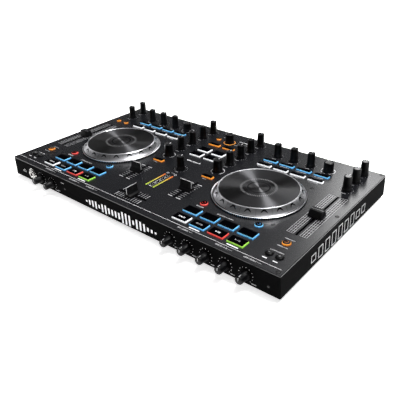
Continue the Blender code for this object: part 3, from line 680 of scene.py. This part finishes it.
def build_jogs():
    """The chromed ring with its notches and rims, and the turned disc inside it."""
    for word in SIDES:
        centre = DECK[word]
        shape = Shape(CHROME, POLISH_AND_HIGHLIGHT, DARK_PRINT_AND_SHADE)
        shape.ring([(56.5, 11.4), (56.8, 11.15), (57.0, 10.7), (62.6, 3.75), (62.9, 3.5),
                    (63.3, 3.2), (63.35, 1.6), (64.1, 1.5), (64.2, 2.5), (64.7, 2.75),
                    (65.3, 2.4), (65.4, 1.2), (65.5, 0.9), (65.5, 0.5), (53.0, 0.5),
                    (53.0, 8.2), (56.0, 8.2), (56.0, 11.2), (56.2, 11.4)], 192)
        # Lips in the lighter chrome copy: polished edges painted lighter as their highlight. The
        # groove at the foot of the cone in near-black: painted shade.
        for face in shape.mesh.faces:
            height = face.calc_center_median().z
            reach = face.calc_center_median().to_2d().length
            outer_lip = 64.15 < reach < 65.38 and height > 1.7
            inner_lip = 56.0 < reach < 57.1 and height > 10.9
            if outer_lip or inner_lip:
                face.material_index = 1
            elif 63.2 < reach < 64.2 and height > 1.0:
                face.material_index = 2
        for i in range(NOTCH_COUNT):
            angle = 2 * math.pi * (i - 0.5) / NOTCH_COUNT
            # Painted shade: dark plates for the recessed notches.
            notch(shape, angle, 2)
            shape.plate(SEAM, (0.05, -0.4), 2, on_cone(angle + math.pi / NOTCH_COUNT))
        for i in range(BEAD_COUNT):
            spin = Matrix.Rotation(2 * math.pi * i / BEAD_COUNT, 4, "Z")
            # Painted shade: knurl teeth in near-black.
            shape.plate(TOOTH, (1.75, 0.7), 2, spin)
            shape.plate(BEAD, (2.3, 1.3), 0, spin)
        shape.piece("jog_ring_%s_look" % word, (centre.x, centre.y, TOP), "jog_" + word,
                    "jog_ring_" + word, crease=25)

        shape = Shape(DISC, POLISH_AND_HIGHLIGHT, TICK, DARK_PRINT_AND_SHADE, DISC_CORE)
        profile = [(0.0, 11.1), (1.2, 11.08), (1.5, 10.85)]
        radius = 2.0
        while radius < 54.5:
            deep = 0.012 if radius < 17 or radius > 27 else 0.004
            profile += [(radius, DISC_TOP), (radius + 0.45, DISC_TOP - deep)]
            radius += 0.9
        profile += [(55.3, 11.0), (55.4, 11.1), (55.7, 11.05), (55.8, 10.8), (55.8, 8.7),
                    (9.0, 8.7), (9.0, -8.0), (0.0, -8.0)]
        shape.lathe(profile, 144)
        for face in shape.mesh.faces:
            reach = face.calc_center_median().to_2d().length
            # The disc's rim in the lighter chrome copy: a polished edge, painted lighter as its
            # highlight.
            if reach > 55.32:
                face.material_index = 1
            elif 1.6 < reach < 13.5:
                face.material_index = 4
        shape.arc((0, 0), 24.2, 0, 359.9, 3.4, 3, DISC_TOP - 0.05, steps=96, thick=0.03)
        for i in range(TICK_COUNT):
            angle = 2 * math.pi * i / TICK_COUNT
            ray = Vector((math.cos(angle), math.sin(angle)))
            shape.line(ray * 22.7, ray * 25.7, 0.9, 2, DISC_TOP - 0.03)
        shape.arc((0, 0), 15.2, 0, 359.9, 2.6, 3, DISC_TOP - 0.05, steps=96, thick=0.05)
        for reach in (18.4, 20.4):
            shape.arc((0, 0), reach, 0, 359.9, 0.3, 3, DISC_TOP - 0.04, steps=96, thick=0.05)
        shape.piece("jog_disc_%s_look" % word, (centre.x, centre.y, TOP), "jog_" + word,
                    "jog_disc_" + word, crease=60)


# ---- faders

STEM_FOOT = -5.2


def build_mixer_fader(name, along_x):
    """Blade-shaped cap on a low foot, with a raised white index line over its ridge."""
    centre = middle(name)
    shape = Shape(FADER_BLACK, INK)
    levels = [(19.0, 1.3, 0.5, 15.2), (19.3, 2.1, 0.7, 14.9), (19.4, 2.8, 0.8, 13.6),
              (19.5, 3.6, 0.8, 9.0), (19.6, 5.0, 0.9, 5.6), (19.8, 8.2, 1.0, 3.9),
              (19.9, 11.0, 1.0, 3.1), (20.0, 12.0, 1.0, 2.3), (20.0, 12.0, 1.0, 1.1),
              (19.6, 11.6, 1.0, 0.8)]
    shape.block(levels)
    for z in (5.9, 7.4, 8.9, 10.4, 11.9):
        half = 2.35 - (z - 5.9) * 0.14
        for side in (-1, 1):
            shape.block([(17.4, 0.35, 0.1, z + 0.28, (0, side * half)),
                         (17.4, 0.9, 0.1, z - 0.28, (0, side * (half - 0.1)))], steps=1,
                        smooth=False)
    shape.slab((-9.5, -0.28, 15.0), (9.5, 0.28, 15.42), 1)
    shape.slab((9.62, -0.28, 4.5), (9.92, 0.28, 15.3), 1)
    shape.slab((-9.92, -0.28, 4.5), (-9.62, 0.28, 15.3), 1)
    stem = (1.6, 8.0)
    if along_x:
        shape.transform(Matrix.Rotation(math.pi / 2, 4, "Z"))
        stem = (8.0, 1.6)
    shape.block([(*stem, 0.3, 1.6), (*stem, 0.3, STEM_FOOT)])
    shape.piece(name + "_look", (centre.x, centre.y, TOP), name, name)


def build_pitch_fader(name):
    """Flat-topped cap whose front and back fall away in steps, on a wider foot."""
    centre = middle(name)
    shape = Shape(FADER_BLACK, GREY_INK)
    levels = [(17.0, 8.6, 0.5, 10.4), (17.4, 9.0, 0.6, 10.2)]
    for step in range(5):
        wide, deep, height = 17.4 + 0.4 * step, 9.2 + 0.95 * step, 9.7 - 1.65 * step
        levels += [(wide, deep, 0.4, height), (wide + 0.2, deep + 0.3, 0.4, height - 0.9),
                   (wide - 0.7, deep - 0.5, 0.4, height - 1.05),
                   (wide - 0.6, deep - 0.2, 0.4, height - 1.45)]
    levels += [(19.0, 14.0, 0.6, 1.6), (19.0, 14.2, 0.6, 0.8)]
    shape.block(levels)
    for y in (-2.8, -1.4, 1.4, 2.8):
        shape.slab((-8.2, y - 0.25, 10.3), (8.2, y + 0.25, 10.55), 0, 0.08)
    shape.slab((-8.4, -0.2, 10.3), (8.4, 0.2, 10.42), 1)
    shape.slab((-0.8, -6.0, STEM_FOOT), (0.8, 6.0, 1.2))
    shape.piece(name + "_look", (centre.x, centre.y, TOP), name, name)


def build_faders():
    for word in SIDES:
        build_pitch_fader("fader_pitch_" + word)
        build_mixer_fader("fader_channel_" + word, False)
    build_mixer_fader("crossfader", True)


# ---- print on the panel

# Marks of a knob scale, and the rungs beside the faders, from the front or left one.
SCALE_COUNT = 11
PITCH_RUNGS = [-67.0 + i * 5.6 for i in range(21)]
CHANNEL_RUNGS = [-87.0 + i * 4.65 for i in range(11)]
CROSSFADER_RUNGS = [-22.5 + i * 4.5 for i in range(11)]
CROSSFADER_ROW = -118.4


def scale_rays():
    """Directions of the marks of a knob scale, open towards the front."""
    for i in range(SCALE_COUNT):
        angle = math.radians(-50 + 280 * i / (SCALE_COUNT - 1))
        yield Vector((math.cos(angle), math.sin(angle)))


def knob_scale(shape, centre, radius, material=0):
    """Short strokes round a knob, pointing away from it."""
    base = Vector(centre)
    for ray in scale_rays():
        shape.line(base + ray * radius, base + ray * (radius + 1.3), 0.3, material)


def build_print():
    """Scales, rungs, rules and rows of dashes that stand for captions."""
    shape = Shape(INK, GREY_INK, ORANGE_RIM)
    for name in TALL + [n for n in NODES if n.startswith("encoder_fx") or "filter" in n]:
        x, y = middle(name).x - CASE_X, middle(name).y - CASE_Y
        wide = "filter" in name or "encoder" in name
        if name.startswith("encoder"):
            shape.arc((x, y), 10.2, -60, 240, 0.55)
        elif "filter" in name:
            shape.arc((x, y), 10.1, -45, 235, 0.5)
        else:
            knob_scale(shape, (x, y), 8.6, 1)
        shape.dashes((x - 3.2, y - (11.4 if wide else 11.6)), 3.0 if wide else 6.6, 1.3)
    shape.arc((0.0, 108.3), 9.7, -180, 180, 0.9, 2)
    knob_scale(shape, (0.0, -16.5), 9.9)
    for word in SIDES:
        deck = DECK[word].x - CASE_X
        for offset in COLUMNS:
            for y in (80.4, 62.0):
                shape.dashes((deck + offset - 8.0, y), 15.0, 1.5)
        for index in (1, 3):
            x = deck + COLUMNS[index]
            shape.line((x - 8.2, -132.1), (x + 8.2, -132.1), 1.7)
        shape.line((deck - 49.2, -85.8), (deck - 37.3, -85.8), 1.5, 1)
        shape.dashes((deck - 14.0, -87.6), 26.0, 1.8)
        for x in (-34.0, 25.0, 65.0):
            shape.dashes((deck + x, -141.2), 17.0, 2.3)
            shape.line((deck + x + 18.0, -140.2), (deck + x + 24.0, -140.2), 0.4, 1)
        edge = EDGE[word] - CASE_X
        for side in (-1, 1):
            for y in PITCH_RUNGS:
                shape.line((edge + side * 4.4, y), (edge + side * 13.4, y), 0.3, 1)
            for step in (4.4, 7.4, 10.4, 13.4):
                x = edge + side * step
                shape.line((x, PITCH_RUNGS[0]), (x, PITCH_RUNGS[-1]), 0.45, 1)
        shape.dashes((edge - 7.0, -81.4), 14.0, 1.4)
        shape.dashes((edge - 7.0, -99.0), 14.0, 1.4)
        shape.dashes((edge - 9.0, -110.5), 18.0, 1.4)
        for step in BEND_STEPS:
            x = BEND_X[word] + step
            shape.line((x - 3.0, -127.6), (x + 3.0, -127.6), 1.3)
        channel = CHANNEL[word] - CASE_X
        for side in (-1, 1):
            for i, y in enumerate(CHANNEL_RUNGS):
                width, ink = (0.75, 0) if i in (0, 10) else (0.4, 1)
                shape.line((channel + side * 3.4, y), (channel + side * 11.4, y), width, ink)
        shape.dashes((channel - 4.0, -21.5), 8.0, 1.3)
    for side in (-1, 1):
        for i, x in enumerate(CROSSFADER_RUNGS):
            low = CROSSFADER_ROW + side * 3.4
            shape.line((x, low), (x, low + side * 9.6), 0.5, 0 if i in (0, 5, 10) else 1)
    shape.line((-252.0, -135.8), (250.0, -135.8), 0.42)
    shape.dashes((-14.0, 13.0), 27.0, 2.4, 0)
    shape.dashes((-22.0, 120.5), 14.0, 1.6)
    shape.dashes((12.0, 120.0), 20.0, 2.0, 0)
    shape.dashes((13.0, 103.5), 12.0, 1.4)
    shape.dashes((15.0, 112.5), 18.0, 1.5)
    shape.dashes((16.0, 108.0), 15.0, 1.4)
    shape.dashes((-2.6, -35.5), 6.0, 1.4)
    shape.piece("panel_print", PANEL_MIDDLE, "case")


# ---- level meters

METER_X = (-7.4, 7.4)
METER_ROWS = [-83.6 + index * 3.53 for index in range(12)]


def build_meters():
    """Two columns of small lights, green at the front and red at the back, with marks between."""
    low, mid, high = (0.42, 0.56, 0.06), (0.62, 0.46, 0.06), (0.85, 0.17, 0.03)
    shades = []
    for index in range(len(METER_ROWS)):
        share = index / (len(METER_ROWS) - 1)
        a, b, t = (low, mid, share * 1.6) if share < 0.62 else (mid, high, share * 2.6 - 1.6)
        colour = tuple(p + (q - p) * t for p, q in zip(a, b))
        shades.append(glow("meter_glow_%02d" % (index + 1), colour, 0.62))
    shape = Shape(SHADE_AND_DARK_TRIM, *shades, INK)
    for x in METER_X:
        shape.block([(4.4, 44.0, 0.8, 0.1), (4.8, 44.4, 0.9, 0.0)], (x, -64.1))
        for index, y in enumerate(METER_ROWS):
            shape.block([(2.0, 2.3, 0.3, 0.42), (2.3, 2.6, 0.4, 0.3), (2.3, 2.6, 0.4, 0.02)],
                        (x, y), index + 1, steps=2)
    for index, y in enumerate(METER_ROWS):
        shape.line((-3.4, y), (-1.6, y), 0.5, 13)
        shape.line((1.6, y), (3.4, y), 0.5, 13)
        if index % 3 == 0:
            shape.line((-0.9, y), (0.9, y), 1.1, 13)
    for x in METER_X:
        shape.arc((x, -37.6), 1.7, 0, 359, 0.45, 13, steps=18)
    shape.piece("level_meters", PANEL_MIDDLE, "case")


# ---- screws, jack, rear, graphics

def screw(shape, matrix, radius=2.2):
    """Countersunk cross-head screw, built lying face up and then placed by a matrix. The cross and
    a thin ring round the head are dark plates: painted shade of the recess and of the gap round
    the head.
    """
    first = len(shape.mesh.verts)
    shape.lathe([(0.0, 0.06), (radius * 0.7, 0.05), (radius * 0.95, 0.0), (radius, -0.12),
                 (radius, -0.4), (0.0, -0.4)], 28)
    # Painted shade: the cross recess drawn as dark raised plates, and a dark ring for the gap
    # round the head.
    shape.slab((-radius * 0.55, -0.22, 0.03), (radius * 0.55, 0.22, 0.09), 1)
    shape.slab((-0.22, -radius * 0.55, 0.035), (0.22, radius * 0.55, 0.095), 1)
    shape.lathe([(0.0, 0.04), (radius + 0.5, 0.035), (radius + 0.6, -0.1), (0.0, -0.1)], 28,
                material=1)
    shape.mesh.verts.ensure_lookup_table()
    bmesh.ops.transform(shape.mesh, matrix=matrix, verts=shape.mesh.verts[first:])


def build_screws():
    """Screws of the panel, and of the front edge and the underside."""
    shape = Shape(SCREW, SHADE_AND_DARK_TRIM)
    places = [(side * 249.2, y) for side in (-1, 1) for y in (-141.3, -1.5, 141.6)]
    for deck in DECK.values():
        x = deck.x - CASE_X
        places += [(x + 56.5, -65.2), (x + 50.3, 46.3)]
    places += [(-20.0, 141.6), (100.0, 141.6), (-130.0, 141.6)]
    for x, y in places:
        screw(shape, Matrix.Translation((x, y, 0.0)) @ Matrix.Rotation(x, 4, "Z"))
    shape.piece("panel_screws", PANEL_MIDDLE, "case")

    shape = Shape(SCREW, SHADE_AND_DARK_TRIM)
    for x, z in ((-121.6, 18.2), (241.0, 15.7)):
        screw(shape, Matrix.Translation((CASE_X + x, FRONT, z)) @ FACE_FRONT, 1.7)
    for x in (-190, -60, 60, 190):
        for y in (-130, 0, 125):
            place = Matrix.Translation((CASE_X + x, CASE_Y + y, CASE_BOTTOM))
            screw(shape, place @ Matrix.Rotation(math.pi, 4, "X"), 2.6)
    shape.piece("case_screws", (0, 0, 0), "case")


FRONT_BARS = 21
FRONT_BAR_HEIGHT = 15.8
SIDE_BARS = 9
SIDE_BAR_HEIGHT = 17.5


def build_front_print():
    """Scales round the front knobs, captions, and a row of equaliser bars."""
    shape = Shape(INK, GREY_INK)
    for name in FRONT_KNOBS:
        centre = middle(name)
        x, y = centre.x - CASE_X, centre.z
        for ray in scale_rays():
            dot = Vector((x, y)) + 9.6 * ray
            shape.line(dot - Vector((0.35, 0)), dot + Vector((0.35, 0)), 0.7)
        shape.dashes((x + 8.0, y - 9.6), 6.5, 1.3)
    for i in range(FRONT_BARS):
        share = i / (FRONT_BARS - 1)
        x = -70.0 + 140.0 * share
        swell = math.sin(math.pi * share) ** 0.6
        wave = abs(math.sin(i * 0.9) * 0.7 + math.sin(i * 0.37 + 1.0) * 0.5)
        half = 1.5 + 7.6 * swell * min(1.0, 0.25 + wave)
        shape.line((x, FRONT_BAR_HEIGHT - half), (x, FRONT_BAR_HEIGHT + half), 3.2)
    shape.dashes((-129.0, 26.4), 7.0, 1.5)
    shape.dashes((-141.5, 9.4), 6.0, 1.3)
    shape.arc((-229.5, 18.0), 2.6, 10, 170, 0.6, steps=14)
    for side in (-1, 1):
        shape.line((-229.5 + side * 2.6, 15.6), (-229.5 + side * 2.6, 18.4), 1.1)
    shape.piece("front_print", (CASE_X, FRONT, 0), "case", turn=FACE_FRONT)


def build_side_print():
    """The same bars, as wide outlines, on both end walls, which lean out a little."""
    low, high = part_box("bottom_case")
    lean = (high.x - low.x) / 2 / MM - HALF_WIDTH
    tilt = Matrix.Rotation(-math.atan2(lean, TOP - CASE_BOTTOM), 4, "X")
    for word, side, turn in (("right", 1, FACE_RIGHT), ("left", -1, FACE_LEFT)):
        shape = Shape(SIDE_INK)
        for i in range(SIDE_BARS):
            u = -72.0 + 17.6 * i
            swell = math.sin(math.pi * (i + 0.7) / 9.4) ** 0.5
            half = 2.0 + 7.4 * swell * min(1.0, 0.35 + abs(math.sin(i * 1.7 + 0.4)))
            for edge in (-1, 1):
                shape.line((u + edge * 5.2, -half), (u + edge * 5.2, half), 1.1, z=0.05)
                shape.line((u - 5.75, edge * half), (u + 5.75, edge * half), 1.1, z=0.05)
        reach = HALF_WIDTH + lean * (TOP - SIDE_BAR_HEIGHT) / (TOP - CASE_BOTTOM)
        place = (CASE_X + side * reach, CASE_Y, SIDE_BAR_HEIGHT)
        shape.piece("side_print_" + word, place, "case", turn=turn @ tilt)


def build_jack():
    """Knurled nickel nut in two rings, with a dark ring between them as painted shade of the gap,
    dark plates as painted shade of its slots, and a hollow barrel painted dark inside as painted
    shade.
    """
    centre = middle("headphone_jack")
    shape = Shape(NICKEL, SHADE_AND_DARK_TRIM)
    shape.ring([(9.2, 0.9), (9.4, 0.6), (9.4, 0.0), (5.4, 0.0), (5.4, 0.9)], 36)
    shape.ring([(7.6, 2.6), (8.0, 2.2), (8.0, 0.5), (3.4, 0.5), (3.4, 1.4), (6.2, 1.4),
                (6.2, 2.6)], 6)
    # Painted shade: a dark ring for the gap between the nut's rings, and dark plates for its
    # slots.
    shape.ring([(6.1, 1.9), (6.1, 1.3), (5.0, 1.3), (5.0, 1.9)], 32, material=1)
    shape.ring([(4.7, 3.4), (5.0, 3.1), (5.0, 1.0), (3.3, 1.0), (3.3, 3.1), (3.6, 3.4)], 32)
    slot = ((5.2, -0.55), (7.9, -0.55), (7.9, 0.55), (5.2, 0.55))
    for i in range(8):
        shape.plate(slot, (2.68, 1.2), 1, Matrix.Rotation(math.pi * i / 4, 4, "Z"))
    # Painted shade: the inside of the barrel in near-black.
    shape.ring([(4.4, 1.2), (4.4, -27.0), (3.3, -27.0), (3.3, 1.2)], 24, material=1)
    shape.lathe([(0.0, -26.5), (4.3, -26.5), (4.3, -27.5), (0.0, -27.5)], 24, material=1)
    shape.piece("headphone_jack_look", (centre.x, FRONT, centre.z), "case",
                "headphone_jack", turn=FACE_FRONT)


def build_rear():
    """Phono and data sockets dressed with their metal and colour rings, and short captions."""
    centre = middle("rear_connectors")
    row = centre.z
    shape = Shape(GOLD, RED_PLASTIC, WHITE_PLASTIC, NICKEL, GREY_INK)
    for index, u in enumerate((78.0, 64.0, 46.0, 32.0, 14.0, 0.0)):
        shape.ring([(6.0, 1.0), (6.3, 0.6), (6.3, 0.0), (4.3, 0.0), (4.3, 1.0)], 32, (u, row),
                   1 if index % 2 else 2)
        shape.ring([(4.35, 7.3), (4.5, 6.9), (4.5, 0.4), (4.3, 0.4), (4.3, 7.0), (3.6, 7.0),
                    (3.6, 7.3)], 32, (u, row))
        shape.dashes((u - 4.0, row - 8.8), 8.0, 1.2, 4)
    shape.ring([(7.6, 0.9), (7.8, 0.7), (7.8, 0.0), (7.0, 0.0), (7.0, 0.9)], 4, (-32.0, row), 3)
    shape.dashes((-37.0, row - 8.8), 9.0, 1.2, 4)
    shape.dashes((-67.0, row - 8.8), 9.0, 1.2, 4)
    shape.piece("rear_trim", (centre.x, REAR - 0.2, 0), "case", turn=FACE_REAR)


# ---- carried-over nodes

def paint_nodes():
    """Gives the CAD nodes that stay in view their materials."""
    # The main board gets near-black as painted shade seen through the slots.
    looks = {"top_panel": PANEL, "bottom_case": BLACK, "main_board": BOARD_PAINTED_SHADE,
             "rear_connectors": BLACK}
    for name, item in NODES.items():
        material = looks.get(name, FOOT if name.startswith("foot_") else None)
        if material:
            item.data.materials.clear()
            item.data.materials.append(material)


# ---- stage

def area_light(name, position, target, size, power):
    """A white rectangular light aimed at a point, in metres and watts."""
    data = bpy.data.lights.new(name, "AREA")
    data.shape = "RECTANGLE"
    data.size, data.size_y = size
    data.energy = power
    item = new_object(name, data)
    item.location = position
    direction = Vector(target) - Vector(position)
    item.rotation_euler = direction.to_track_quat("-Z", "Y").to_euler()


def build_stage():
    """A white floor disc whose rim rises behind everything, a pale world and five lights."""
    mesh = bmesh.new()
    bmesh.ops.create_circle(mesh, cap_ends=True, segments=64, radius=8.0)
    edge = [e for e in mesh.edges if e.is_boundary]
    for out, up in ((0.8, 0.25), (0.3, 0.5), (0.1, 0.6)):
        grown = bmesh.ops.extrude_edge_only(mesh, edges=edge)["geom"]
        for vert in (v for v in grown if isinstance(v, bmesh.types.BMVert)):
            vert.co += vert.co.to_2d().normalized().to_3d() * out + Vector((0.0, 0.0, up))
        edge = [e for e in grown if isinstance(e, bmesh.types.BMEdge) and e.is_boundary]
    data = bpy.data.meshes.new("floor")
    mesh.to_mesh(data)
    mesh.free()
    floor = new_object("floor", data)
    white = surface("floor_white", (0.9, 0.9, 0.9), 0.95, grain=20, bump=0.0, vary=0.003,
                    rough_vary=0.02, Specular_IOR_Level=0.1, Emission_Strength=0.72)
    white.node_tree.nodes["Principled BSDF"].inputs["Emission Color"].default_value = (1, 1, 1, 1)
    data.materials.append(white)

    world = bpy.data.worlds.new("studio")
    world.use_nodes = True
    bpy.context.scene.world = world
    shade = world.node_tree.nodes["Background"]
    shade.inputs["Color"].default_value = (1, 1, 1, 1)
    shade.inputs["Strength"].default_value = 0.07

    area_light("key", (0.69, 0.39, 2.16), (0, 0, 0), (0.6, 0.6), 72.0)
    area_light("broad", (0.0, 0.75, 3.5), (0.0, 0.3, 0.0), (5.0, 4.6), 75.0)
    area_light("back_right", (-0.278, 1.703, 1.2), (0.29, -0.02, 0.037), (0.42, 0.8), 7.0)
    area_light("left_card", (-2.5, -0.6, 0.8), (0, 0, 0), (2.0, 1.3), 2.4)
    area_light("front_card", (0.5, -1.7, 1.85), (0, 0, 0), (1.3, 1.5), 0.4)


def build_camera():
    """Camera at the viewing angle: seen from the front right corner, 30 degrees down."""
    yaw, pitch, roll = -0.70868, 0.5222, -0.03271
    ahead = Vector((math.sin(yaw) * math.cos(pitch), math.cos(yaw) * math.cos(pitch),
                    -math.sin(pitch)))
    level = Vector((math.cos(yaw), -math.sin(yaw), 0.0))
    upward = level.cross(ahead)
    right = level * math.cos(roll) + upward * math.sin(roll)
    up = upward * math.cos(roll) - level * math.sin(roll)
    data = bpy.data.cameras.new("camera")
    data.sensor_width = 36.0
    data.lens = 42.73
    data.clip_start = 0.01
    item = new_object("camera", data)
    matrix = Matrix((right, up, -ahead)).transposed().to_4x4()
    matrix.translation = Vector((CASE_X * MM + 0.44671, CASE_Y * MM - 0.49533, 0.35705))
    item.matrix_world = matrix
    bpy.context.scene.camera = item


build_knobs()
build_keys()
build_jogs()
build_faders()
build_print()
build_meters()
build_screws()
build_front_print()
build_side_print()
build_jack()
build_rear()
paint_nodes()
build_stage()
build_camera()
bpy.context.scene.view_settings.view_transform = "Standard"

bpy.context.view_layer.update()
